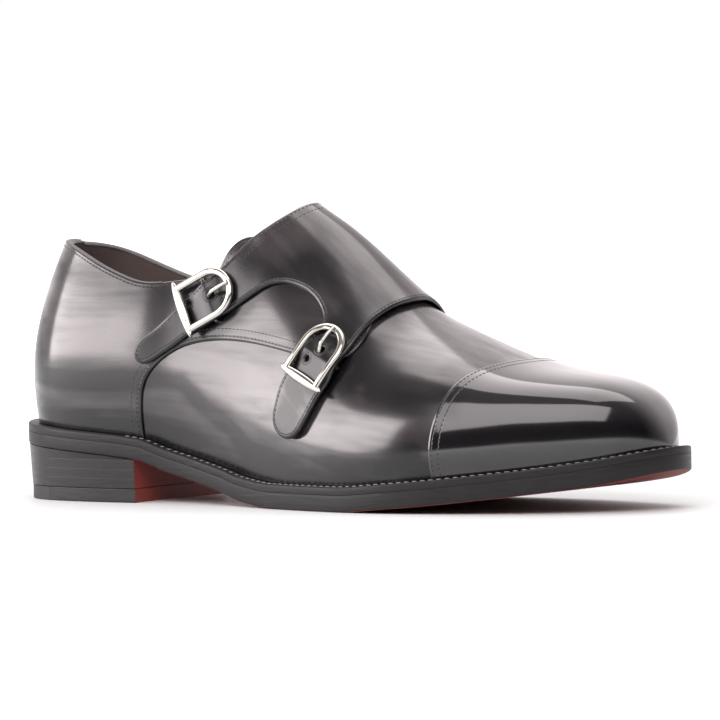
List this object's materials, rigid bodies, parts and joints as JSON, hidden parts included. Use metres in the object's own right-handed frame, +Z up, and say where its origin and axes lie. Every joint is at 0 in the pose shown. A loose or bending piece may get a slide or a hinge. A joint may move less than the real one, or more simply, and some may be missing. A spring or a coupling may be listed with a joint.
{
  "type": "monk strap shoe",
  "caption": "Double monk strap dress shoe for the right foot: hollow leather upper with straight toe cap, saddle flap with straps and buckles, welted leather sole and stacked heel.",
  "frame": {"origin": "middle of the footprint on the floor, at the bottom of the box", "axes": "+X from the heel to the toe, +Y to the wearer's left (the medial side), +Z up"},
  "size_m": [0.3048, 0.1062, 0.1204],
  "materials": {
    "patina_leather": "hand-burnished grey and black patina, glossy",
    "polished_leather": "mirror polished, near black",
    "lining_leather": "dark brown lining, matte",
    "black_edge": "black burnished edge, satin",
    "stained_sole": "red stained sole leather, matte",
    "heel_rubber": "black, matte",
    "nickel": "polished nickel"
  },
  "bodies": {
    "root": {"upper": "patina_leather", "toe_cap": "polished_leather", "quarter_lateral": "patina_leather", "saddle": "patina_leather", "tongue": "lining_leather", "insole": "lining_leather", "welt": "black_edge", "outsole": "stained_sole", "heel_stack": "black_edge", "top_piece_leather": "black_edge", "top_piece_rubber": "heel_rubber", "buckle_upper": "nickel", "buckle_lower": "nickel"}
  },
  "joints": []
}
